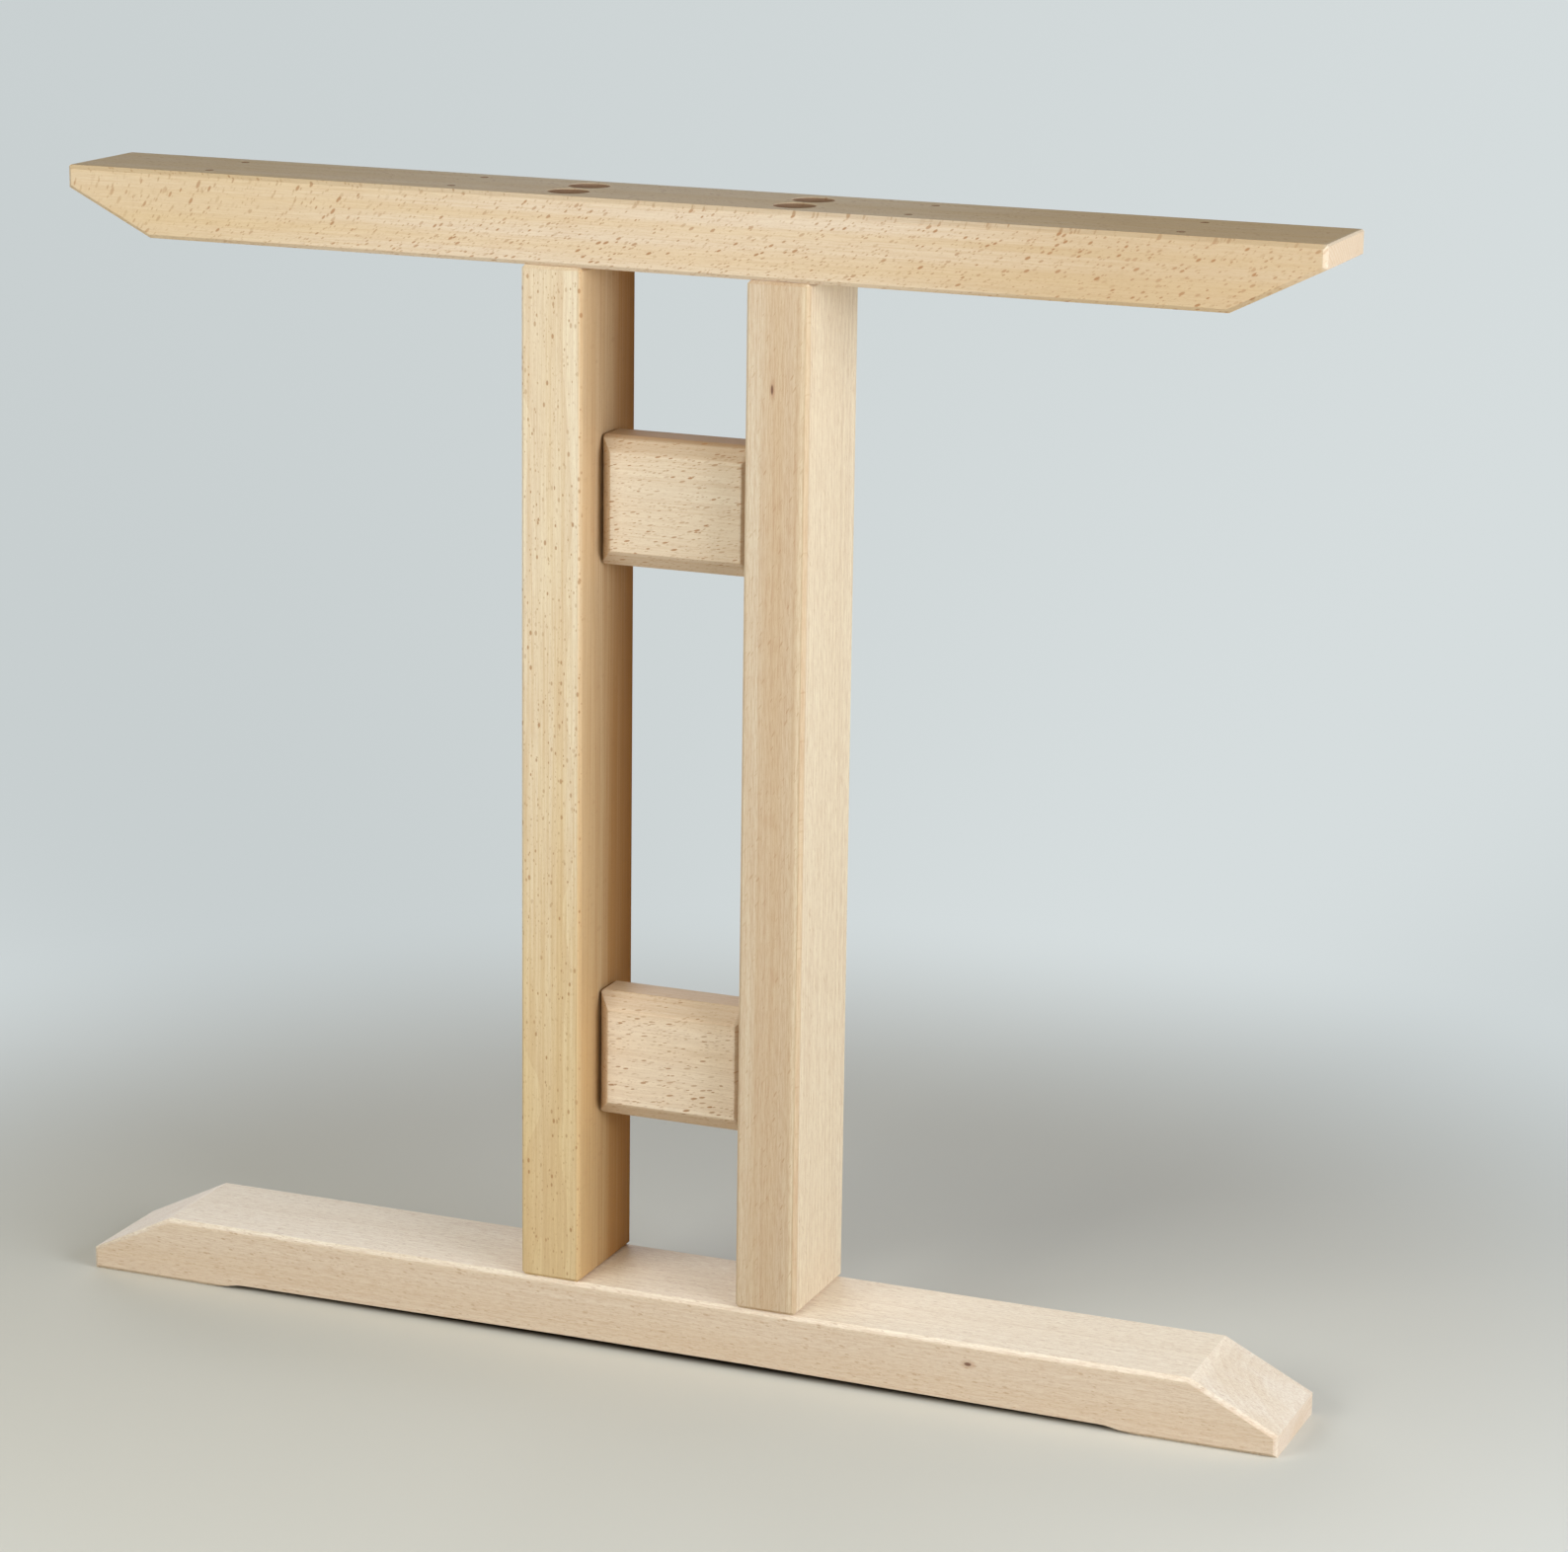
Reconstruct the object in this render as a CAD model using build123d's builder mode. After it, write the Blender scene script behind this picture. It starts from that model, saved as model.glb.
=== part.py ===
from build123d import *
import os

os.makedirs("parts", exist_ok=True)

# Wooden trestle table leg, in millimetres.
# X runs along the beam, Y from the front to the back, Z up from the floor.
overall_height = 720

# Top beam: its ends are undercut by a long slope.
beam_length = 800
beam_depth = 80
beam_height = 42
beam_tip_height = 14
beam_slope_length = 56
beam_edge = 2.5
beam_end_edge = 1.2

# Foot: its ends slope down from the top face.
foot_length = 800
foot_depth = 80
foot_height = 42
foot_tip_height = 14
foot_slope_length = 56
foot_edge = 2.5

# The foot stands on a pad at each end. Between them the underside is hollowed by a shallow arch.
relief_length = 624
relief_run_out = 18
relief_end_depth = 4
relief_middle_depth = 6
relief_blend = 40

# Two upright posts, with their wide side towards the ends.
post_width = 40
post_depth = 80
post_gap = 105
post_edge = 2

# Two rails between the posts, with a broad bevel around their front and back faces.
rail_height = 80
rail_thickness = 40
rail_bevel = 10
rail_end_edge = 2.5
gap_above_upper_rail = 103
gap_below_lower_rail = 104

# Coach screws clamp the beam and the foot to the end grain of the posts, two to a post end.
screw_pitch_y = 30
clamp_thickness = 24
screw_length = 120
screw_diameter = 8
screw_head_flats = 13
screw_head_height = 5.5
screw_head_edge = 0.8
screw_passing_clearance = 0.25
screw_grip_clearance = 0.05
screw_end_room = 1.5

# Washers under the screw heads, at the bottom of deep round recesses.
washer_diameter = 24
washer_thickness = 2
washer_clearance = 0.5
recess_rim = 0.6

# Two loose tenons hold each end of a rail to its post, one above the other.
tenon_thickness = 10
tenon_width = 24
tenon_length = 50
tenon_pitch_z = 38
tenon_edge = 1
tenon_clearance = 0.05
tenon_end_room = 1

# Holes for the screws that hold a table top, in two rectangles.
table_screw_hole = 5
table_screw_pitch_y = 46
outer_table_screw_pitch_x = 620
inner_table_screw_pitch_x = 292

# Places that follow from the sizes above.
beam_bottom = overall_height - beam_height
post_offset = (post_gap + post_width) / 2
post_length = beam_bottom - foot_height
upper_rail_middle = beam_bottom - gap_above_upper_rail - rail_height / 2
lower_rail_middle = foot_height + gap_below_lower_rail + rail_height / 2
rail_middles = {"upper": upper_rail_middle, "lower": lower_rail_middle}
rail_joints = {"left": -post_gap / 2, "right": post_gap / 2}
post_places = {"left": -post_offset, "right": post_offset}
screw_rows = {"front": -screw_pitch_y / 2, "back": screw_pitch_y / 2}
passing_hole_radius = screw_diameter / 2 + screw_passing_clearance
grip_hole_radius = screw_diameter / 2 + screw_grip_clearance
grip_hole_depth = screw_length - washer_thickness - clamp_thickness + screw_end_room
recess_radius = washer_diameter / 2 + washer_clearance
mortise_thickness = tenon_thickness + 2 * tenon_clearance
mortise_width = tenon_width + 2 * tenon_clearance
mortise_depth = tenon_length / 2 + tenon_end_room

# Each of these planes lies on a face of the timber and looks out of it.
beam_top_face = Plane.XY.offset(overall_height)
foot_under_face = Plane((0, 0, 0), x_dir=(1, 0, 0), z_dir=(0, 0, -1))
post_top_face = Plane.XY.offset(beam_bottom)
post_bottom_face = Plane((0, 0, foot_height), x_dir=(1, 0, 0), z_dir=(0, 0, -1))


# Top beam
with BuildPart() as top_beam:
    with BuildSketch(Plane.XZ):
        with BuildLine():
            Polyline(
                (-beam_length / 2, overall_height),
                (beam_length / 2, overall_height),
                (beam_length / 2, overall_height - beam_tip_height),
                (beam_length / 2 - beam_slope_length, beam_bottom),
                (beam_slope_length - beam_length / 2, beam_bottom),
                (-beam_length / 2, overall_height - beam_tip_height),
                close=True,
            )
        make_face()
    extrude(amount=beam_depth / 2, both=True)
    # The outlines of the front and back faces are chamfered, then the two ends of the top face
    chamfer(top_beam.faces().filter_by(Axis.Y).edges(), length=beam_edge)
    top_end_edges = top_beam.edges().filter_by(Axis.Y).group_by(Axis.Z)[-1]
    chamfer(top_end_edges, length=beam_end_edge)
    # Recessed screw holes over the posts
    with Locations(beam_top_face):
        with GridLocations(2 * post_offset, screw_pitch_y, 2, 2):
            CounterBoreHole(
                radius=passing_hole_radius,
                counter_bore_radius=recess_radius,
                counter_bore_depth=beam_height - clamp_thickness,
                depth=beam_height,
            )
    recess_mouths = top_beam.edges().filter_by(GeomType.CIRCLE).group_by(Axis.Z)[-1]
    chamfer(recess_mouths, length=recess_rim)
    # Screw holes for a table top
    with Locations(beam_top_face):
        for pitch_x in (outer_table_screw_pitch_x, inner_table_screw_pitch_x):
            with GridLocations(pitch_x, table_screw_pitch_y, 2, 2):
                Hole(radius=table_screw_hole / 2, depth=beam_height)
top_beam.part.label = "top_beam"
export_step(top_beam.part, "parts/top_beam.step")


# Foot
with BuildPart() as foot:
    with BuildSketch(Plane.XZ):
        with BuildLine():
            Polyline(
                (-foot_length / 2, 0),
                (foot_length / 2, 0),
                (foot_length / 2, foot_tip_height),
                (foot_length / 2 - foot_slope_length, foot_height),
                (foot_slope_length - foot_length / 2, foot_height),
                (-foot_length / 2, foot_tip_height),
                close=True,
            )
        make_face()
    extrude(amount=foot_depth / 2, both=True)
    # Only the outlines of the front and back faces are chamfered
    chamfer(foot.faces().filter_by(Axis.Y).edges(), length=foot_edge)
    # Shallow arch under the middle, with a smooth run-out to each pad
    with BuildSketch(Plane.XZ):
        with BuildLine():
            run_out_start = relief_length / 2
            run_out_end = relief_length / 2 - relief_run_out
            ThreePointArc(
                (-run_out_end, relief_end_depth),
                (0, relief_middle_depth),
                (run_out_end, relief_end_depth),
            )
            Polyline(
                (run_out_end, relief_end_depth),
                (run_out_start, 0),
                (-run_out_start, 0),
                (-run_out_end, relief_end_depth),
            )
        make_face()
    extrude(amount=foot_depth / 2, both=True, mode=Mode.SUBTRACT)
    run_out_edges = (
        foot.edges()
        .filter_by(Axis.Y)
        .filter_by_position(Axis.X, -relief_length / 2, relief_length / 2)
        .filter_by_position(Axis.Z, 0, relief_end_depth)
    )
    fillet(run_out_edges, radius=relief_blend)
    # Recessed screw holes under the posts
    with Locations(foot_under_face):
        with GridLocations(2 * post_offset, screw_pitch_y, 2, 2):
            CounterBoreHole(
                radius=passing_hole_radius,
                counter_bore_radius=recess_radius,
                counter_bore_depth=foot_height - clamp_thickness,
                depth=foot_height,
            )
foot.part.label = "foot"
export_step(foot.part, "parts/foot.step")


# Posts: drilled in both ends for the screws, and mortised in the inner side for the tenons
for side, post_x in post_places.items():
    inner_x = rail_joints[side]
    inward = 1 if side == "left" else -1
    with BuildPart() as post:
        with BuildSketch(Plane.XY.offset(foot_height)):
            with Locations((post_x, 0)):
                Rectangle(post_width, post_depth)
        extrude(amount=post_length)
        chamfer(post.edges(), length=post_edge)
        for end_face in (post_top_face, post_bottom_face):
            with Locations(end_face):
                with Locations((post_x, 0)):
                    with GridLocations(0, screw_pitch_y, 1, 2):
                        Hole(radius=grip_hole_radius, depth=grip_hole_depth)
        for rail_middle in rail_middles.values():
            joint_face = Plane((inner_x, 0, rail_middle), x_dir=(0, inward, 0), z_dir=(inward, 0, 0))
            with BuildSketch(joint_face):
                with GridLocations(0, tenon_pitch_z, 1, 2):
                    Rectangle(mortise_thickness, mortise_width)
            extrude(amount=-mortise_depth, mode=Mode.SUBTRACT)
    post.part.label = f"{side}_post"
    export_step(post.part, f"parts/{side}_post.step")


# Rails: bevelled around both broad faces, eased around both ends, and mortised in the ends
for level, rail_middle in rail_middles.items():
    with BuildPart() as rail:
        with BuildSketch(Plane.XZ):
            with Locations((0, rail_middle)):
                Rectangle(post_gap, rail_height)
        extrude(amount=rail_thickness / 2, both=True)
        chamfer(rail.faces().filter_by(Axis.Y).edges(), length=rail_bevel)
        for direction in (Axis.Y, Axis.Z):
            end_edges = rail.faces().filter_by(Axis.X).edges().filter_by(direction)
            chamfer(end_edges, length=rail_end_edge)
        for side, joint_x in rail_joints.items():
            outward = -1 if side == "left" else 1
            joint_face = Plane((joint_x, 0, rail_middle), x_dir=(0, outward, 0), z_dir=(outward, 0, 0))
            with BuildSketch(joint_face):
                with GridLocations(0, tenon_pitch_z, 1, 2):
                    Rectangle(mortise_thickness, mortise_width)
            extrude(amount=-mortise_depth, mode=Mode.SUBTRACT)
    rail.part.label = f"{level}_rail"
    export_step(rail.part, f"parts/{level}_rail.step")


# Loose tenons: each lies half in a rail and half in a post
for level, rail_middle in rail_middles.items():
    for side, joint_x in rail_joints.items():
        for row, tenon_z in (
            ("lower", rail_middle - tenon_pitch_z / 2),
            ("upper", rail_middle + tenon_pitch_z / 2),
        ):
            with BuildPart() as tenon:
                with BuildSketch(Plane.YZ.offset(joint_x)):
                    with Locations((0, tenon_z)):
                        Rectangle(tenon_thickness, tenon_width)
                extrude(amount=tenon_length / 2, both=True)
                chamfer(tenon.faces().filter_by(Axis.X).edges(), length=tenon_edge)
            name = f"{level}_rail_{side}_tenon_{row}"
            tenon.part.label = name
            export_step(tenon.part, f"parts/{name}.step")


# Where the washers lie, and which way each screw head looks
screw_seats = (
    ("beam", beam_bottom + clamp_thickness, 1),
    ("foot", foot_height - clamp_thickness, -1),
)


# Washers: four loose rings in the beam and four in the foot, one under each screw head
for member, seat_z, outward in screw_seats:
    with BuildPart() as washers:
        with BuildSketch(Plane((0, 0, seat_z), x_dir=(1, 0, 0), z_dir=(0, 0, outward))):
            with GridLocations(2 * post_offset, screw_pitch_y, 2, 2):
                Circle(washer_diameter / 2)
                Circle(passing_hole_radius, mode=Mode.SUBTRACT)
        extrude(amount=washer_thickness)
    washers.part.label = f"{member}_washers"
    export_step(washers.part, f"parts/{member}_washers.step")


# Coach screws: those of the beam point down, and those of the foot point up
for member, seat_z, outward in screw_seats:
    for side, post_x in post_places.items():
        for row, row_y in screw_rows.items():
            head_seat = Plane(
                (post_x, row_y, seat_z + outward * washer_thickness),
                x_dir=(1, 0, 0),
                z_dir=(0, 0, outward),
            )
            with BuildPart() as screw:
                with BuildSketch(head_seat):
                    RegularPolygon(screw_head_flats / 2, 6, major_radius=False)
                extrude(amount=screw_head_height)
                head_top = screw.faces().sort_by(Axis(head_seat.origin, head_seat.z_dir))[-1]
                chamfer(head_top.edges(), length=screw_head_edge)
                with BuildSketch(head_seat):
                    Circle(screw_diameter / 2)
                extrude(amount=-screw_length)
            name = f"{member}_screw_{side}_{row}"
            screw.part.label = name
            export_step(screw.part, f"parts/{name}.step")
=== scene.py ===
import math

import bmesh
import bpy
from mathutils import Matrix, Vector


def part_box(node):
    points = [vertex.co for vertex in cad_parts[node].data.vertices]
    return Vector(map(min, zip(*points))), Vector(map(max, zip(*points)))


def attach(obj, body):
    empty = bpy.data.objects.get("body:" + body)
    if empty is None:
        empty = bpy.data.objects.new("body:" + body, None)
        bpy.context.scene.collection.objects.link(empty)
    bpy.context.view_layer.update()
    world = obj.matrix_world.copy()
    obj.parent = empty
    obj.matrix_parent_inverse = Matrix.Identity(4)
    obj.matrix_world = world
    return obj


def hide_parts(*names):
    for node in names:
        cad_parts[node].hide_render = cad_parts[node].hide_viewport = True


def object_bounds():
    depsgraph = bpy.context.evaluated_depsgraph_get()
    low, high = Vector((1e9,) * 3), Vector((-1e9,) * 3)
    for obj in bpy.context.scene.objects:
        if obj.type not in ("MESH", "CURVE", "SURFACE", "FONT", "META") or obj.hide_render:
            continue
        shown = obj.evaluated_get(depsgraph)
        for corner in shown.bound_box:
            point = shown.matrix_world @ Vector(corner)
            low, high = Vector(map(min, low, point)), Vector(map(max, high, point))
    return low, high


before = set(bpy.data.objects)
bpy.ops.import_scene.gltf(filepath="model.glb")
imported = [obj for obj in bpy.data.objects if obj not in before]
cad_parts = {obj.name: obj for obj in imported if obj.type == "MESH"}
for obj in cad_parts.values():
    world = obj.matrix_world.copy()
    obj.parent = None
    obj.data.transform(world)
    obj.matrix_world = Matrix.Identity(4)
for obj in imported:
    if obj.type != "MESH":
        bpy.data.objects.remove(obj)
cad_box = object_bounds()
bpy.context.scene.view_settings.view_transform = "Standard"

# The wooden leg stands on the floor at the origin. X runs along the beam, Y to the back and Z up.
# Camera, lamps and floor are in metres, and the pieces and their wood in millimetres.
MM = 0.001

# Camera: a long lens, a little to the right of the leg and looking down on it
CAMERA_PLACE = (1.0643, -2.5106, 1.0546)
CAMERA_TURN = math.radians(21.712)
CAMERA_DOWN = math.radians(14.173)
CAMERA_ROLL = math.radians(0.789)
LENS_MM = 105.65
SENSOR_MM = 36

# Light: the place, size in metres, power in watts and colour of each soft lamp
AMBIENT_COLOUR = (238, 246, 255)
AMBIENT_STRENGTH = 0.08
LAMP_AIM = (0, 0, 0.36)
LAMPS = {
    "right lamp": ((1.6, -0.5, 0.80), (1.2, 0.6), 33, (230, 239, 255)),
    "front left lamp": ((-0.7, -1.4, 0.90), (1.0, 0.6), 17, (242, 249, 255)),
    "back left lamp": ((-1.3, 1.8, 0.55), (1.6, 0.7), 25, (235, 240, 255)),
    "top lamp": ((0.3, -0.9, 1.9), (1.6, 1.0), 9, (255, 250, 228)),
}

# Floor: greige near the leg, fading outwards into the backdrop
FLOOR_RADIUS = 40
FLOOR_SIDES = 96
FLOOR_COLOUR = (209, 204, 190)
FADE_START = 0.42
FADE_END = 1.0

# A shadow painted on the floor under the arch of the foot: half its length and depth, and their
# soft edges
UNDER_FOOT_SHADOW_COLOUR = (78, 70, 60)
SHADOW_LENGTH, SHADOW_LENGTH_FADE = 0.312, 0.015
SHADOW_DEPTH, SHADOW_DEPTH_FADE = 0.038, 0.010

# Backdrop: in front of the camera it turns from the left colour to the right one. The places are
# shares of the way outwards, sideways and straight on.
BACKDROP_COLOUR = (207, 214, 215)
BACKDROP_LEFT = (200, 207, 208)
BACKDROP_RIGHT = (214, 221, 222)
BACKDROP_SIDE = 0.35
BACKDROP_AHEAD = (0.75, 0.92)

# How far edges are rounded, and the angle in degrees from which an edge is rounded
EASED_EDGE = 0.35
WASHER_EASE = 0.25
EASED_ANGLE = 21
FLAT_ANGLE = 0.5

# Coach screws
SCREW_LENGTH = 120
SCREW_PITCH = 3.4
SCREW_SIDES = 36
SHANK_RADIUS = 4
THREAD_LENGTH = 72
THREAD_DEPTH = 1.05
THREAD_FLANKS = (0.0, 0.30, 0.38, 0.68)
POINT_LENGTH = 9
HEAD_FLATS = 13
HEAD_HEIGHT = 5.5
CROWN_INSET = 0.35
CROWN_SLOPE = math.tan(math.radians(30))
HEAD_EASE = 0.2
SCREW_SMOOTH_BELOW = 32

# Loose tenons. Across a groove go the distance from its middle and the share of its depth.
TENON_EASE = 0.5
TENON_TAPER = 1.0
GROOVE_PITCH = 2.4
GROOVE_DEPTH = 0.35
GROOVE_SHAPE = ((-0.6, 0.0), (-0.3, 1.0), (0.3, 1.0), (0.6, 0.0))
GROOVES_EACH_WAY = 4
TENON_SMOOTH_BELOW = 25


def linear(colour, alpha=1.0):
    """The linear value of a colour that is written as 0 to 255."""
    parts = []
    for part in colour:
        share = part / 255
        parts.append(share / 12.92 if share <= 0.04045 else ((share + 0.055) / 1.055) ** 2.4)
    return (*parts, alpha)


class Graph:
    """Adds shader nodes to a material or a world, and joins them."""

    def __init__(self, owner):
        owner.use_nodes = True
        self.tree = owner.node_tree
        self.tree.nodes.clear()

    def add(self, kind, inputs=None, **settings):
        """A new node. An input is a number, a colour or another node's output."""
        node = self.tree.nodes.new(kind)
        for name, value in settings.items():
            setattr(node, name, value)
        for key, value in (inputs or {}).items():
            if isinstance(value, bpy.types.NodeSocket):
                self.tree.links.new(value, node.inputs[key])
            else:
                node.inputs[key].default_value = value
        return node

    def math(self, operation, *values):
        return self.add("ShaderNodeMath", dict(enumerate(values)), operation=operation).outputs[0]

    def plus(self, *values):
        total = values[0]
        for value in values[1:]:
            total = self.math("ADD", total, value)
        return total

    def times(self, *values):
        total = values[0]
        for value in values[1:]:
            total = self.math("MULTIPLY", total, value)
        return total

    def length(self, parts):
        """The distance from zero of a point with the given parts."""
        squares = [self.times(part, part) for part in parts]
        return self.math("SQRT", self.plus(*squares))

    def parts(self, vector):
        return self.add("ShaderNodeSeparateXYZ", {0: vector}).outputs

    def vector(self, x, y, z):
        return self.add("ShaderNodeCombineXYZ", {0: x, 1: y, 2: z}).outputs[0]

    def place(self):
        """The place on the object, which is the same in the row's frame, in metres."""
        return self.add("ShaderNodeTexCoord").outputs["Object"]

    def stretched(self, parts, sizes, offset=0.0):
        """A point whose three parts are measured in cells of the given sizes."""
        scaled = [self.plus(self.times(part, 1 / size), offset) for part, size in zip(parts, sizes)]
        return self.vector(*scaled)

    def noise(self, point, detail=1.0, roughness=0.5):
        inputs = {"Vector": point, "Scale": 1.0, "Detail": detail, "Roughness": roughness}
        return self.add("ShaderNodeTexNoise", inputs).outputs["Fac"]

    def ramp(self, value, low, high, to_low=0.0, to_high=1.0):
        """A smooth step from to_low to to_high while value goes from low to high."""
        inputs = {0: value, 1: low, 2: high, 3: to_low, 4: to_high}
        return self.add("ShaderNodeMapRange", inputs, interpolation_type="SMOOTHSTEP").outputs[0]

    def mix(self, share, first, second):
        inputs = {0: share, 6: first, 7: second}
        return self.add("ShaderNodeMix", inputs, data_type="RGBA").outputs[2]

    def mix_shaders(self, share, first, second):
        return self.add("ShaderNodeMixShader", {0: share, 1: first, 2: second}).outputs[0]


# Camera, lights and floor


def make_camera():
    data = bpy.data.cameras.new("camera")
    data.lens = LENS_MM
    data.sensor_width = SENSOR_MM
    data.sensor_fit = "HORIZONTAL"
    camera = bpy.data.objects.new("camera", data)
    bpy.context.scene.collection.objects.link(camera)
    turn = Matrix.Rotation(CAMERA_TURN, 4, "Z")
    tilt = Matrix.Rotation(math.pi / 2 - CAMERA_DOWN, 4, "X")
    roll = Matrix.Rotation(CAMERA_ROLL, 4, "Z")
    camera.matrix_world = Matrix.Translation(CAMERA_PLACE) @ turn @ tilt @ roll
    bpy.context.scene.camera = camera


def make_lamp(name, place, size, power, colour):
    data = bpy.data.lights.new(name, "AREA")
    data.shape = "RECTANGLE"
    data.size, data.size_y = size
    data.energy = power
    data.color = linear(colour)[:3]
    lamp = bpy.data.objects.new(name, data)
    bpy.context.scene.collection.objects.link(lamp)
    lamp.location = place
    lamp.rotation_euler = (Vector(LAMP_AIM) - Vector(place)).to_track_quat("-Z", "Y").to_euler()


def seen_directly(graph):
    """1 for what the camera, a gloss or a clear material sees, and 0 for light."""
    path = graph.add("ShaderNodeLightPath").outputs
    seen = graph.math("MAXIMUM", path["Is Camera Ray"], path["Is Glossy Ray"])
    return graph.math("MAXIMUM", seen, path["Is Transmission Ray"])


def make_world():
    world = bpy.data.worlds.new("studio")
    bpy.context.scene.world = world
    graph = Graph(world)
    ambient = {"Color": linear(AMBIENT_COLOUR), "Strength": AMBIENT_STRENGTH}
    backdrop = {"Color": linear(BACKDROP_COLOUR), "Strength": 1.0}
    light = graph.add("ShaderNodeBackground", ambient).outputs[0]
    picture = graph.add("ShaderNodeBackground", backdrop).outputs[0]
    both = graph.mix_shaders(seen_directly(graph), light, picture)
    graph.add("ShaderNodeOutputWorld", {"Surface": both})


def floor_colour(graph, x, y):
    # A shadow painted on the floor under the arch of the foot
    beside = graph.ramp(graph.math("ABSOLUTE", x), SHADOW_LENGTH, SHADOW_LENGTH - SHADOW_LENGTH_FADE)
    before = graph.ramp(graph.math("ABSOLUTE", y), SHADOW_DEPTH, SHADOW_DEPTH - SHADOW_DEPTH_FADE)
    return graph.mix(graph.times(beside, before), linear(FLOOR_COLOUR), linear(UNDER_FOOT_SHADOW_COLOUR))


def backdrop_colour(graph, x, y, away):
    along, across = math.cos(CAMERA_TURN), math.sin(CAMERA_TURN)
    sideways = graph.plus(graph.times(x, along), graph.times(y, across))
    ahead = graph.plus(graph.times(y, along), graph.times(x, -across))
    side = graph.ramp(graph.math("DIVIDE", sideways, away), -BACKDROP_SIDE, BACKDROP_SIDE)
    in_view = graph.ramp(graph.math("DIVIDE", ahead, away), *BACKDROP_AHEAD)
    share = graph.plus(0.5, graph.times(graph.plus(side, -0.5), in_view))
    return graph.mix(share, linear(BACKDROP_LEFT), linear(BACKDROP_RIGHT))


def make_floor():
    mesh = bpy.data.meshes.new("floor")
    shape = bmesh.new()
    bmesh.ops.create_circle(shape, cap_ends=True, segments=FLOOR_SIDES, radius=FLOOR_RADIUS)
    shape.to_mesh(mesh)
    shape.free()
    floor = bpy.data.objects.new("floor", mesh)
    bpy.context.scene.collection.objects.link(floor)
    material = bpy.data.materials.new("floor")
    graph = Graph(material)
    place = graph.place()
    x, y, _ = graph.parts(place)
    away = graph.add("ShaderNodeVectorMath", {0: place}, operation="LENGTH").outputs["Value"]
    fade = graph.times(graph.ramp(away, FADE_START, FADE_END), seen_directly(graph))
    matt = graph.add("ShaderNodeBsdfDiffuse", {"Color": floor_colour(graph, x, y)}).outputs[0]
    glow = {"Color": backdrop_colour(graph, x, y, away), "Strength": 1.0}
    backdrop = graph.add("ShaderNodeEmission", glow).outputs[0]
    graph.add("ShaderNodeOutputMaterial", {"Surface": graph.mix_shaders(fade, matt, backdrop)})
    mesh.materials.append(material)


# Beech: one solid pattern for each board, in millimetres, cut by the board's faces

# Noises: the cell along the board and the two ways across it, an addition to the seed, the detail
SWAY = ((260, 60, 60), 0.0, 2.0)
DRIFT = ((120, 30, 30), 7.3, 1.0)
PATCHES = ((420, 16, 16), 1.7, 2.0)
STREAKS = ((150, 2.0, 2.0), 5.0, 2.0)
PORES = ((2.6, 0.24, 0.24), 0.0, 1.0)
FIBRE_ACROSS = 0.7
FIBRE_ROUGHNESS = 0.6

# Growth rings: wide and narrow ones alternate over the first distance from the pith, which moves
# them by up to so many rings, and paler and warmer ones over the second
YEARS_WIDTH = 9
YEARS_SHIFT = 2.2
SEASONS_WIDTH = 11
SEASONS_SEED = 3.1

# Ramps: the two values of a noise, or of the normal's part, between which a pattern changes
TONE_CHANGE = (0.3, 0.7)
STREAK_EDGE = (0.42, 0.68)
FIBRE_EDGE = (0.4, 0.68)
PORE_EDGE = (0.56, 0.74)
END_GRAIN = (0.55, 0.95)
TOP_FACE = (0.6, 0.95)
SQUARE_FACE = (0.15, 0.75)

# Ray flecks: the small ones beside the large, and the share that end grain takes away. Then ramps:
# by chance, a fleck's size and strength change from the third value to the fourth, and so do rows.
SMALL_FLECK_SIZE = 0.62
SMALL_FLECK_SEED = 11.0
SMALL_FLECK_SHARE = 0.7
END_FLECK_LOSS = -0.85
FLECK_SIZES = (0.0, 1.0, 1.45, 0.75)
FLECK_STRENGTHS = (0.0, 0.7, 0.35, 1.0)
FLECK_EDGE = (1.1, 0.6)
ROW_CELL = (4.2, 45, 30)
ROW_EDGE = (0.38, 0.56, 0.2, 1.0)

# Knots: the reach of the heart, of the halo and of the bent grain, in radii of the knot
KNOT_HEART = (104, 66, 48)
KNOT_HALO = (170, 120, 84)
HEART_REACH = (1.15, 0.55)
HALO_REACH = (2.8, 0.9)
BEND_REACH = (5.0, 0.0)
HEART_SHARE = 0.85
HALO_SHARE = 0.35

# Bored holes of the beam and the foot: X, Y and radius. The painted shade on their walls fades out
# between two distances from the wall.
SCREW_RECESS = (72.5, 15, 12.5)
TABLE_HOLES = ((310, 23, 2.5), (146, 23, 2.5))
BORE_SHADE_COLOUR = (128, 92, 64)
BORE_SHADE_REACH = (0.35, 0.05)
BORE_SHADE_SHARE = 0.85

# Shares of the patterns in a tone's edge, in the colour, in the roughness and in the relief
TONE_WOBBLE = 0.6
PORE_SHARE = 0.22
ROUGHNESS = 0.62
ROUGHER_GRAIN = 0.08
SMOOTHER_FLECK = -0.12
RELIEF = (0.7, -0.5, 0.3)
RELIEF_STRENGTH = 0.25
RELIEF_DEPTH = 0.25


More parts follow.
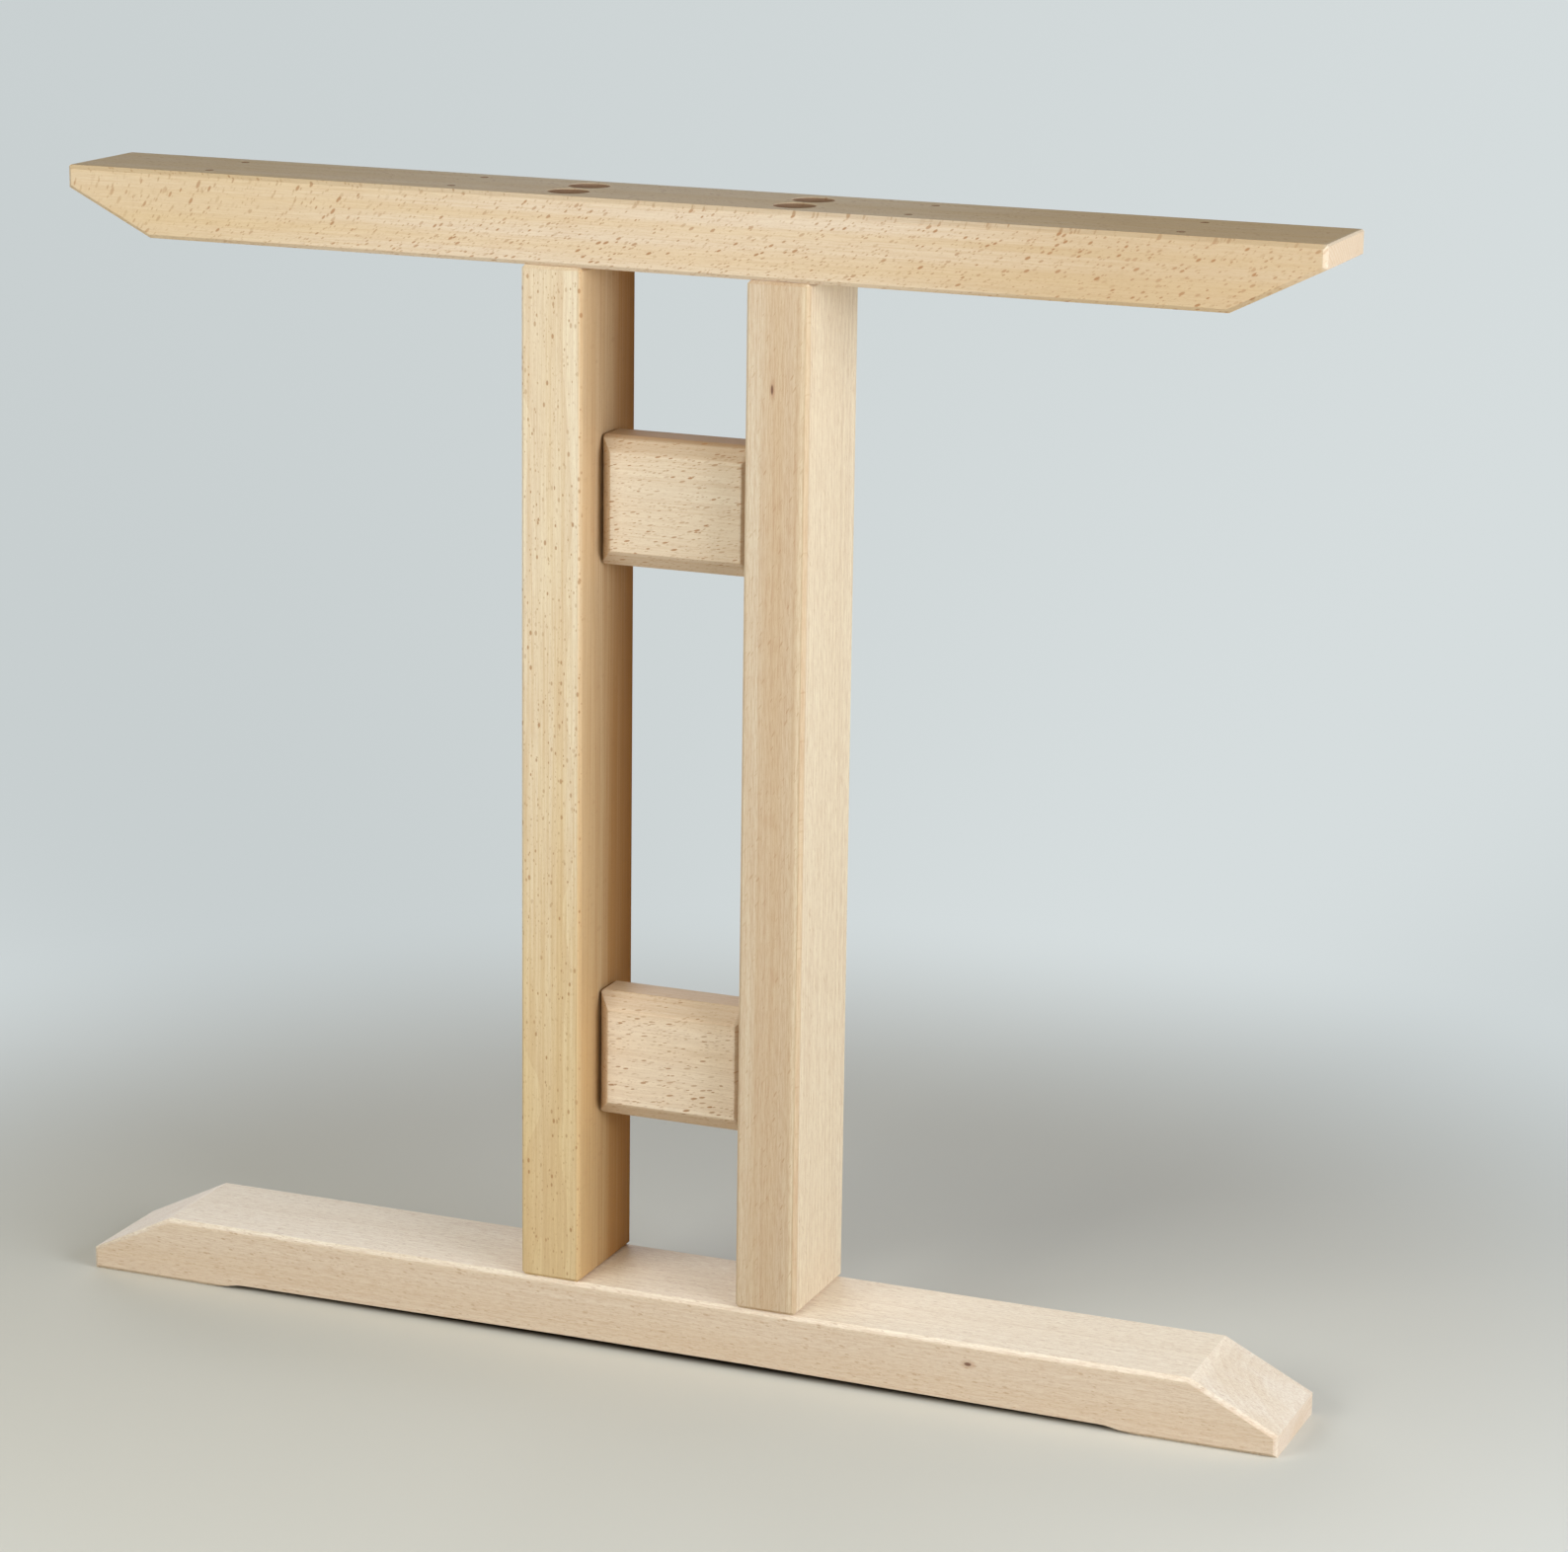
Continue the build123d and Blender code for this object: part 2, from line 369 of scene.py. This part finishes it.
class Beech:
    """What sets one board apart from the next. Colours are 0 to 255, lengths are millimetres."""

    along = "x"
    pith = (0, 0)
    ray_shift = (0, 0)
    ray_lean = (0, 0)
    sway = (6, 4)
    pale = (229, 206, 172)
    warm = (221, 192, 152)
    ring = (186, 144, 102)
    fleck = (166, 118, 74)
    ring_gap = 3.0
    ring_share = 0.13
    end_share = 0.16
    fleck_share = 0.9
    bar_share = 0.8
    top_share = 1.0
    fleck_cell = (6.2, 3.8, 13)
    fleck_half = (1.4, 0.55, 5.5)
    fleck_slant = 0.3
    row_climb = 0.4
    fibre_length = 24
    fibre_share = 0.2
    streak_share = 0.11
    gloss = 0.22
    tones_and_painted_light = ()
    bores = ()
    knots = ()
    seed = 0.0

    def __init__(self, node, **changes):
        for name, value in changes.items():
            setattr(self, name, value)
        low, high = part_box(node)
        x, y, z = (low + high) / 2 / MM
        across = (y, z) if self.along == "x" else (x, y)
        self.mean_radius = math.dist(across, self.pith)


def board_axes(graph, board):
    """The place, then the same along and across the board, then the normal along and across it."""
    x, y, z = (graph.times(part, 1 / MM) for part in graph.parts(graph.place()))
    normal_x, normal_y, normal_z = graph.parts(graph.add("ShaderNodeNewGeometry").outputs["Normal"])
    if board.along == "x":
        return (x, y, z), (x, y, z), (normal_x, normal_y, normal_z)
    return (x, y, z), (z, x, y), (normal_z, normal_x, normal_y)


def grain_noise(graph, board, point, noise):
    cell, seed, detail = noise
    return graph.noise(graph.stretched(point, cell, board.seed + seed), detail)


def from_line(graph, run, across, line, lean):
    """The two distances across the board from a line that runs down it and may lean."""
    return [
        graph.plus(part, -start, graph.times(run, -slope))
        for part, start, slope in zip(across, line, lean)
    ]


def place_in_trunk(graph, board, point, bend):
    """The distance from the pith, and the ray: its two parts across, its length and its arc."""
    run, first, second = point
    sway = graph.plus(grain_noise(graph, board, point, SWAY), -0.5)
    drift = graph.plus(grain_noise(graph, board, point, DRIFT), -0.5)
    first = graph.plus(first, graph.times(sway, board.sway[0]))
    second = graph.plus(second, graph.times(drift, board.sway[1]))
    from_pith = from_line(graph, run, (first, second), board.pith, (0, 0))
    radius = graph.plus(graph.length(from_pith), bend)

    # The rays fan out from a line that may lean, and so turn a little along the board
    ray_line = [pith + shift for pith, shift in zip(board.pith, board.ray_shift)]
    across, upward = from_line(graph, run, (first, second), ray_line, board.ray_lean)
    arc = graph.times(graph.math("ARCTAN2", upward, across), board.mean_radius)
    return radius, (across, upward, graph.length((across, upward)), arc)


def pull_of_knots(graph, board, place):
    """The shares of the knots' dark hearts and of their halos, and the bend of the grain."""
    heart, halo, bend = 0.0, 0.0, 0.0
    for middle, half, pull in board.knots:
        away = [
            graph.times(graph.plus(part, -centre), 1 / size)
            for part, centre, size in zip(place, middle, half)
        ]
        distance = graph.length(away)
        heart = graph.plus(graph.ramp(distance, *HEART_REACH), heart)
        halo = graph.plus(graph.ramp(distance, *HALO_REACH), halo)
        bend = graph.plus(graph.times(graph.ramp(distance, *BEND_REACH), pull), bend)
    return heart, halo, bend


def painted_bore_shade(graph, board, place):
    """Where shade is painted: 1 on the wall of a hole and 0 elsewhere. Each hole has three more,
    mirrored in X and Y.
    """
    x, y = graph.math("ABSOLUTE", place[0]), graph.math("ABSOLUTE", place[1])
    share = 0.0
    for hole_x, hole_y, radius in board.bores:
        distance = graph.length((graph.plus(x, -hole_x), graph.plus(y, -hole_y)))
        low, high = (radius + reach for reach in BORE_SHADE_REACH)
        share = graph.math("MAXIMUM", graph.ramp(distance, low, high), share)
    return share


def ray_flecks(graph, board, point, scale, seed):
    """The share of ray fleck. A ray is thin round the trunk, low along it and long to the bark."""
    cell = [size * scale for size in board.fleck_cell]
    half = [size * scale for size in board.fleck_half]
    point = graph.stretched(point, cell, board.seed + seed)
    nearest = {"Vector": point, "Scale": 1.0, "Randomness": 1.0}
    fleck = graph.add("ShaderNodeTexVoronoi", nearest).outputs
    ends = {0: point, 1: fleck["Position"]}
    gap = graph.add("ShaderNodeVectorMath", ends, operation="SUBTRACT").outputs[0]
    gap_run, gap_arc, gap_radius = graph.parts(gap)
    chance = graph.add("ShaderNodeSeparateColor", {0: fleck["Color"]}).outputs
    slant = graph.times(gap_run, -board.fleck_slant * cell[0])
    slanted = graph.plus(graph.times(gap_arc, cell[1]), slant)
    away = (
        graph.times(gap_run, cell[0] / half[0]),
        graph.times(slanted, 1 / half[1]),
        graph.times(gap_radius, cell[2] / half[2]),
    )
    distance = graph.times(graph.length(away), graph.ramp(chance[0], *FLECK_SIZES))

    # Flecks stand in slanting rows
    at_run, at_arc, at_radius = graph.parts(fleck["Position"])
    climb = graph.times(at_run, -board.row_climb * cell[0])
    row_point = graph.vector(
        graph.times(graph.plus(graph.times(at_arc, cell[1]), climb), 1 / ROW_CELL[0]),
        graph.times(at_run, cell[0] / ROW_CELL[1]),
        graph.times(at_radius, cell[2] / ROW_CELL[2]),
    )
    rows = graph.ramp(graph.noise(row_point), *ROW_EDGE)
    strength = graph.times(graph.ramp(chance[1], *FLECK_STRENGTHS), rows)
    return graph.times(graph.ramp(distance, *FLECK_EDGE), strength)


def flecks_on_face(graph, board, run, ray, normal, end_cut):
    """The share of fleck in the colour, which depends on how the face cuts the rays."""
    across, upward, length, arc = ray
    large = ray_flecks(graph, board, (run, arc, length), 1.0, 0.0)
    small = ray_flecks(graph, board, (run, arc, length), SMALL_FLECK_SIZE, SMALL_FLECK_SEED)
    flecks = graph.math("MAXIMUM", large, graph.times(small, SMALL_FLECK_SHARE))

    # How squarely the face cuts the rays: 1 shows their ends, and 0 shows them as bars
    outward = graph.plus(graph.times(normal[1], across), graph.times(normal[2], upward))
    squarely = graph.math("ABSOLUTE", graph.math("DIVIDE", outward, length))
    on_face = graph.ramp(squarely, *SQUARE_FACE, board.bar_share, 1.0)
    on_end = graph.plus(1.0, graph.times(end_cut, END_FLECK_LOSS))
    on_top = graph.ramp(graph.math("ABSOLUTE", normal[2]), *TOP_FACE, 1.0, board.top_share)
    return graph.times(flecks, on_face, on_end, board.fleck_share, on_top)


def toned_wood(graph, board, place, season, patch, streak):
    """The board's two colours by season and patch, and its tones and painted light and shade, whose
    edges follow the grain.
    """
    tone = graph.ramp(graph.plus(graph.times(patch, 0.5), graph.times(season, 0.5)), *TONE_CHANGE)
    colour = graph.mix(tone, linear(board.pale), linear(board.warm))
    for direction, low, high, shade, share in board.tones_and_painted_light:
        steps = [graph.times(part, weight) for part, weight in zip(place, direction)]
        wobbles = [
            graph.times(graph.plus(noise, -0.5), TONE_WOBBLE * (high - low))
            for noise in (patch, streak)
        ]
        blend = graph.ramp(graph.plus(*steps, *wobbles), low, high, 0.0, share)
        colour = graph.mix(blend, colour, linear(shade))
    return colour


def make_beech(name, board):
    """The board's material. Its pattern stays in the trunk, and the board's faces cut it."""
    material = bpy.data.materials.new(name)
    graph = Graph(material)
    place, point, normal = board_axes(graph, board)
    end_cut = graph.ramp(graph.math("ABSOLUTE", normal[0]), *END_GRAIN)
    heart, halo, bend = pull_of_knots(graph, board, place)
    radius, ray = place_in_trunk(graph, board, point, bend)

    # Growth rings, unevenly wide, each a little darker towards its outer side
    years = graph.noise(graph.vector(graph.times(radius, 1 / YEARS_WIDTH), board.seed, 0.0), 2.0)
    rings = graph.plus(graph.times(radius, 1 / board.ring_gap), graph.times(years, YEARS_SHIFT))
    late = graph.math("POWER", graph.math("FRACT", rings), 2.0)
    across_seasons = graph.times(radius, 1 / SEASONS_WIDTH)
    season = graph.noise(graph.vector(across_seasons, board.seed + SEASONS_SEED, 0.0))

    # Patches, streaks, fibres, pores and flecks
    patch = grain_noise(graph, board, point, PATCHES)
    streak = grain_noise(graph, board, point, STREAKS)
    fibre_cell = (board.fibre_length, FIBRE_ACROSS, FIBRE_ACROSS)
    fibre = graph.noise(graph.stretched(point, fibre_cell, board.seed), 2.0, FIBRE_ROUGHNESS)
    grain = graph.ramp(fibre, *FIBRE_EDGE)
    pores = graph.ramp(grain_noise(graph, board, point, PORES), *PORE_EDGE)
    flecks = flecks_on_face(graph, board, point[0], ray, normal, end_cut)

    # Colour: each pattern lies over the one before, with its share and its colour
    ring_share = graph.plus(board.ring_share, graph.times(end_cut, board.end_share))
    layers = [
        (graph.times(late, ring_share), board.ring),
        (graph.times(graph.ramp(streak, *STREAK_EDGE), board.streak_share), board.ring),
        (graph.times(grain, board.fibre_share), board.ring),
        (graph.times(pores, PORE_SHARE), board.fleck),
        (flecks, board.fleck),
        (graph.times(end_cut, board.end_share), board.ring),
    ]
    # painted shade on the walls of the bored holes
    if board.bores:
        layers.append((graph.times(painted_bore_shade(graph, board, place), BORE_SHADE_SHARE), BORE_SHADE_COLOUR))
    if board.knots:
        layers.append((graph.times(halo, HALO_SHARE), KNOT_HALO))
        layers.append((graph.times(heart, HEART_SHARE), KNOT_HEART))
    colour = toned_wood(graph, board, place, season, patch, streak)
    for share, paint in layers:
        colour = graph.mix(share, colour, linear(paint))

    # Surface: sanded, with open pores and slightly smoother flecks
    uneven = (graph.times(grain, ROUGHER_GRAIN), graph.times(flecks, SMOOTHER_FLECK))
    relief = [graph.times(part, share) for part, share in zip((fibre, pores, late), RELIEF)]
    bump = {
        "Strength": RELIEF_STRENGTH,
        "Distance": RELIEF_DEPTH * MM,
        "Height": graph.plus(*relief),
    }
    surface = {
        "Base Color": colour,
        "Roughness": graph.plus(ROUGHNESS, *uneven),
        "Normal": graph.add("ShaderNodeBump", bump).outputs[0],
        "Specular IOR Level": board.gloss,
    }
    shader = graph.add("ShaderNodeBsdfPrincipled", surface)
    graph.add("ShaderNodeOutputMaterial", {"Surface": shader.outputs[0]})
    return material


# Each board. A tone is a direction, the two places on it where the colour begins to change and has
# changed, that colour, and its share; most tones are painted light or painted shade. A knot is its
# middle, half its size three ways, and its pull on the grain.
X, Y, Z = (1, 0, 0), (0, 1, 0), (0, 0, 1)
BOARDS = {
    "top_beam": dict(
        pith=(-75, 640),
        ray_shift=(-20, 0),
        ray_lean=(-0.12, 0),
        pale=(222, 203, 178),
        warm=(217, 192, 156),
        fleck_cell=(4.6, 3.1, 11),
        fleck_half=(1.65, 0.6, 4.0),
        end_share=0.26,
        fleck_slant=0.25,
        row_climb=0.4,
        top_share=0.5,
        ring_share=0.1,
        streak_share=0.08,
        tones_and_painted_light=(
            (X, -60, -330, (206, 178, 130), 0.5),  # painted shade: yellower and darker to the left, away from the lit middle
            (X, 60, 300, (193, 163, 117), 0.6),  # painted shade: browner and darker to the right, away from the lit middle
            (X, 396, 399.5, (214, 201, 176), 0.75),  # painted light: the right end paler, where it faces the right lamp
        ),
        bores=(SCREW_RECESS, *TABLE_HOLES),
        seed=2.0,
    ),
    "foot": dict(
        pith=(30, -75),
        pale=(238, 224, 202),
        warm=(229, 210, 182),
        ring=(190, 150, 114),
        fleck_cell=(4.8, 2.3, 12),
        fleck_half=(1.7, 0.27, 5),
        fleck_share=0.4,
        fleck_slant=0.05,
        fibre_length=8,
        fibre_share=0.3,
        tones_and_painted_light=(
            (Y, -37.9, -39.9, (208, 180, 148), 0.5),  # painted shade: the front darker
            (Z, 37, 41, (248, 232, 206), 0.7),  # painted light: the top paler
        ),
        bores=(SCREW_RECESS,),
        knots=(((205.4, -40, 29.1), (2.6, 6, 1.3), 5.0),),
        seed=14.0,
    ),
    "left_post": dict(
        along="z",
        pith=(-78, 130),
        pale=(230, 214, 185),
        warm=(223, 201, 164),
        fleck_cell=(7, 4.2, 13),
        fleck_slant=0.0,
        fleck_share=0.75,
        ring_share=0.2,
        streak_share=0.2,
        row_climb=0.1,
        bar_share=0.2,
        gloss=0.05,
        tones_and_painted_light=(
            (Z, 640, 60, (214, 182, 122), 0.65),  # yellower downwards
            (X, -57, -53, (196, 154, 96), 0.6),  # painted shade: the inner side darker, shaded by the right post
            ((10, 1, 0), -559, -487, (167, 103, 20), 0.8),  # painted shade: the same, browner towards the back
        ),
        seed=23.0,
    ),
    "right_post": dict(
        along="z",
        pith=(190, 75),
        pale=(220, 206, 180),
        warm=(208, 185, 152),
        fleck_share=0.4,
        fleck_cell=(8, 3.4, 13),
        fleck_half=(1.8, 0.3, 5),
        ring=(172, 122, 84),
        ring_share=0.14,
        streak_share=0.14,
        fibre_length=12,
        fibre_share=0.3,
        tones_and_painted_light=(
            (X, 60, 66, (196, 164, 124), 0.5),  # browner to the right
            (X, 85, 91, (232, 214, 180), 0.9),  # painted light: the outer side paler, lit by the right lamp
            ((1, -1, 0), 129.2, 130.3, (200, 172, 134), 0.7),  # painted shade: the edge between front and side darker, against the lamps' highlight
        ),
        knots=(((69.7, -40, 614.7), (0.9, 5, 3.4), 2.0),),
        seed=37.0,
    ),
    "upper_rail": dict(
        pith=(110, 520),
        pale=(223, 206, 179),
        warm=(218, 196, 165),
        fleck_cell=(5.2, 3.0, 12),
        fleck_half=(1.9, 0.44, 5),
        fleck_slant=-0.16,
        row_climb=-0.45,
        top_share=0.2,
        tones_and_painted_light=(
            (Y, -20, -17.5, (196, 172, 142), 0.55),  # painted shade: the bevels darker
            (Z, 572, 574.5, (158, 128, 96), 0.85),  # painted shade: the top darker, under the beam
            (X, 41, 44, (158, 128, 98), 0.6),  # painted shade: the right bevel darker, beside the right post
            (X, -49.5, -51.5, (92, 62, 44), 0.8),  # painted shade: the narrow gap at the left post
        ),
        seed=51.0,
    ),
    "lower_rail": dict(
        pith=(95, 205),
        pale=(233, 214, 187),
        warm=(228, 204, 172),
        fleck_cell=(5.6, 3.1, 12),
        fleck_half=(2.1, 0.42, 5),
        fleck_slant=-0.12,
        row_climb=-0.3,
        top_share=0.2,
        tones_and_painted_light=(
            (Y, -20, -17.5, (200, 176, 146), 0.5),  # painted shade: the bevels darker
            (X, 41, 44, (160, 132, 102), 0.5),  # painted shade: the right bevel darker, beside the right post
            (X, -49.5, -51.5, (92, 62, 44), 0.8),  # painted shade: the narrow gap at the left post
        ),
        seed=64.0,
    ),
}
TENON_BOARD = dict(
    pith=(-60, 500),
    pale=(214, 184, 144),
    warm=(204, 170, 128),
    fleck_share=0.3,
    fleck_half=(1.2, 0.3, 4),
    seed=81.0,
)

# Zinc: its two colours, and the sizes of its clouds and its fine grain
ZINC_DARK = (172, 177, 184)
ZINC_LIGHT = (204, 207, 210)
ZINC_CLOUD = (5, 5, 5)
ZINC_GRAIN = (0.5, 0.5, 0.5)
ZINC_ROUGHNESS = 0.24
CLOUD_ROUGHNESS = 0.16
GRAIN_ROUGHNESS = 0.10
ZINC_RELIEF = {"Strength": 0.2, "Distance": 0.05 * MM}


def make_zinc():
    """Bright zinc on steel: slightly clouded, with a fine grain."""
    material = bpy.data.materials.new("zinc_steel")
    graph = Graph(material)
    place = [graph.times(part, 1 / MM) for part in graph.parts(graph.place())]
    cloud = graph.noise(graph.stretched(place, ZINC_CLOUD), 3.0)
    grain = graph.noise(graph.stretched(place, ZINC_GRAIN), 2.0)
    uneven = (graph.times(cloud, CLOUD_ROUGHNESS), graph.times(grain, GRAIN_ROUGHNESS))
    surface = {
        "Base Color": graph.mix(
            graph.ramp(cloud, *TONE_CHANGE), linear(ZINC_DARK), linear(ZINC_LIGHT)
        ),
        "Metallic": 1.0,
        "Roughness": graph.plus(ZINC_ROUGHNESS, *uneven),
        "Normal": graph.add("ShaderNodeBump", {**ZINC_RELIEF, "Height": grain}).outputs[0],
    }
    shader = graph.add("ShaderNodeBsdfPrincipled", surface)
    graph.add("ShaderNodeOutputMaterial", {"Surface": shader.outputs[0]})
    return material


# Pieces: each stands for a CAD node, with the same form and more detail


def place_piece(name, mesh, node, material):
    piece = bpy.data.objects.new(name, mesh)
    bpy.context.scene.collection.objects.link(piece)
    mesh.materials.clear()
    mesh.materials.append(material)
    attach(piece, "root")
    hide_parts(node)
    return piece


def eased_copy(node, name, eased, material):
    """A piece with the form of a CAD node, whose edges are rounded a little."""
    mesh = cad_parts[node].data.copy()
    mesh.name = name
    shape = bmesh.new()
    shape.from_mesh(mesh)
    bmesh.ops.remove_doubles(shape, verts=shape.verts, dist=0.001 * MM)
    bmesh.ops.dissolve_limit(
        shape, angle_limit=math.radians(FLAT_ANGLE), verts=shape.verts, edges=shape.edges
    )
    shape.to_mesh(mesh)
    shape.free()
    mesh.shade_smooth()
    piece = place_piece(name, mesh, node, material)
    bevel = piece.modifiers.new("eased edges", "BEVEL")
    bevel.width = eased * MM
    bevel.segments = 2
    bevel.limit_method = "ANGLE"
    bevel.angle_limit = math.radians(EASED_ANGLE)
    bevel.use_clamp_overlap = True
    shading = piece.modifiers.new("flat faces stay flat", "WEIGHTED_NORMAL")
    shading.mode = "FACE_AREA"
    shading.weight = 100
    return piece


def mesh_of(name, points, faces, smooth_below):
    """A mesh from points in millimetres, with its edges sharp above an angle in degrees."""
    mesh = bpy.data.meshes.new(name)
    mesh.from_pydata([[part * MM for part in point] for point in points], [], faces)
    shape = bmesh.new()
    shape.from_mesh(mesh)
    bmesh.ops.recalc_face_normals(shape, faces=shape.faces)
    shape.to_mesh(mesh)
    shape.free()
    mesh.shade_smooth()
    mesh.set_sharp_from_angle(angle=math.radians(smooth_below))
    return mesh


def to_flat(turn):
    """The distance from a screw's axis to the side of its hexagon."""
    angle = math.radians((turn * 360 / SCREW_SIDES) % 60 - 30)
    return HEAD_FLATS / 2 / math.cos(angle)


def screw_mesh(name, node):
    """A coach screw with a hexagon head, a plain shank, a coarse thread and a point."""
    low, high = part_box(node)
    low, high = low / MM, high / MM
    centre_x, centre_y = (low.x + high.x) / 2, (low.y + high.y) / 2
    head_up = low.z > cad_box[1][2] / MM / 2
    seat = high.z - HEAD_HEIGHT if head_up else low.z + HEAD_HEIGHT
    flip = 1 if head_up else -1
    points, faces = [], []

    def add_point(turn, radius, rise):
        angle = 2 * math.pi * turn / SCREW_SIDES
        x, y = radius * math.cos(angle), radius * math.sin(angle)
        points.append((centre_x + x, centre_y + flip * y, seat + flip * rise))
        return len(points) - 1

    # Head and shank: rings of points from the crown down to where the thread begins
    crown = HEAD_FLATS / 2 - CROWN_INSET
    thread_top = THREAD_LENGTH - SCREW_LENGTH
    rows = (
        lambda turn: (crown, HEAD_HEIGHT),
        lambda turn: (to_flat(turn), HEAD_HEIGHT - (to_flat(turn) - crown) * CROWN_SLOPE),
        lambda turn: (to_flat(turn), HEAD_EASE),
        lambda turn: (to_flat(turn) - HEAD_EASE, 0.0),
        lambda turn: (SHANK_RADIUS, 0.0),
        lambda turn: (SHANK_RADIUS, thread_top),
    )
    top = add_point(0, 0.0, HEAD_HEIGHT)
    rings = [[add_point(turn, *row(turn)) for turn in range(SCREW_SIDES)] for row in rows]
    for turn in range(SCREW_SIDES):
        after = (turn + 1) % SCREW_SIDES
        faces.append((top, rings[0][turn], rings[0][after]))
        for ring, below in zip(rings, rings[1:]):
            faces.append((ring[turn], below[turn], below[after], ring[after]))

    # Thread: one long strip that winds down the core and narrows to the point
    root = SHANK_RADIUS - THREAD_DEPTH
    profile = tuple(zip(THREAD_FLANKS, (root, SHANK_RADIUS, SHANK_RADIUS, root)))
    steps = SCREW_SIDES * int((THREAD_LENGTH - SCREW_PITCH) / SCREW_PITCH)
    strip = []
    for step in range(steps + 1):
        column = []
        for share, radius in profile:
            rise = thread_top - SCREW_PITCH * (step / SCREW_SIDES + share)
            narrowing = min(1.0, (rise + SCREW_LENGTH) / POINT_LENGTH)
            column.append(add_point(step, radius * narrowing, rise))
        strip.append(column)
    tip = add_point(0, 0.0, -SCREW_LENGTH)
    shank_end = rings[-1]
    for step in range(steps):
        here, there = strip[step], strip[step + 1]
        for upper in range(len(profile) - 1):
            faces.append((here[upper], here[upper + 1], there[upper + 1], there[upper]))
        if step < SCREW_SIDES:
            after = (step + 1) % SCREW_SIDES
            faces.append((shank_end[step], here[0], there[0], shank_end[after]))
        if step + SCREW_SIDES < steps:
            below, beyond = strip[step + SCREW_SIDES], strip[step + 1 + SCREW_SIDES]
            faces.append((here[-1], below[0], beyond[0], there[-1]))
        else:
            faces.append((here[-1], tip, there[-1]))
    faces.append((shank_end[0], *strip[0], strip[SCREW_SIDES][0]))
    faces.append((*strip[-1], tip, strip[-1 - SCREW_SIDES][-1]))
    return mesh_of(name, points, faces, SCREW_SMOOTH_BELOW)


def tenon_outline(half_y, half_z):
    """The cross-section of a loose tenon, with glue grooves in its two broad sides."""
    outline = []
    for side in (1, -1):
        outline.append((side * half_y, side * (TENON_EASE - half_z)))
        for groove in range(-GROOVES_EACH_WAY, GROOVES_EACH_WAY + 1):
            for shift, depth in GROOVE_SHAPE:
                y, z = half_y - depth * GROOVE_DEPTH, groove * GROOVE_PITCH + shift
                outline.append((side * y, side * z))
        outline.append((side * half_y, side * (half_z - TENON_EASE)))
        outline.append((side * (half_y - TENON_EASE), side * half_z))
        outline.append((-side * (half_y - TENON_EASE), side * half_z))
    return outline


def tenon_mesh(name, node):
    """A loose tenon with glue grooves down its broad faces and chamfered ends."""
    low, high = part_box(node)
    low, high = low / MM, high / MM
    middle = (low + high) / 2
    half_y, half_z = (high.y - low.y) / 2, (high.z - low.z) / 2
    outline = tenon_outline(half_y, half_z)
    sections = (
        (low.x, TENON_TAPER),
        (low.x + TENON_TAPER, 0.0),
        (high.x - TENON_TAPER, 0.0),
        (high.x, TENON_TAPER),
    )
    points, faces = [], []
    for x, inset in sections:
        for y, z in outline:
            y, z = y * (1 - inset / half_y), z * (1 - inset / half_z)
            points.append((x, middle.y + y, middle.z + z))
    count = len(outline)
    last = len(sections) - 1
    for section in range(last):
        for turn in range(count):
            after = (turn + 1) % count
            corners = (turn, after, after + count, turn + count)
            faces.append(tuple(section * count + corner for corner in corners))
    faces.append(tuple(range(count)))
    faces.append(tuple(range(last * count, (last + 1) * count)))
    return mesh_of(name, points, faces, TENON_SMOOTH_BELOW)


def make_timber():
    for node, changes in BOARDS.items():
        wood = make_beech(f"beech_{node}", Beech(node, **changes))
        eased_copy(node, f"{node}_board", EASED_EDGE, wood)


def make_hidden_pieces():
    """The screws and washers in their holes, and the loose tenons in their mortises."""
    zinc = make_zinc()
    tenon_board = Beech("upper_rail_left_tenon_upper", **TENON_BOARD)
    tenon_wood = make_beech("tenon_wood", tenon_board)
    for node in sorted(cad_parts):
        if "_screw_" in node:
            name = node.replace("_screw_", "_coach_screw_")
            place_piece(name, screw_mesh(name, node), node, zinc)
        elif node.endswith("_washers"):
            eased_copy(node, f"{node}_rings", WASHER_EASE, zinc)
        elif "_tenon_" in node:
            name = node.replace("_tenon_", "_grooved_tenon_")
            place_piece(name, tenon_mesh(name, node), node, tenon_wood)


make_camera()
make_world()
for lamp, (place, size, power, colour) in LAMPS.items():
    make_lamp(lamp, place, size, power, colour)
make_floor()
make_timber()
make_hidden_pieces()
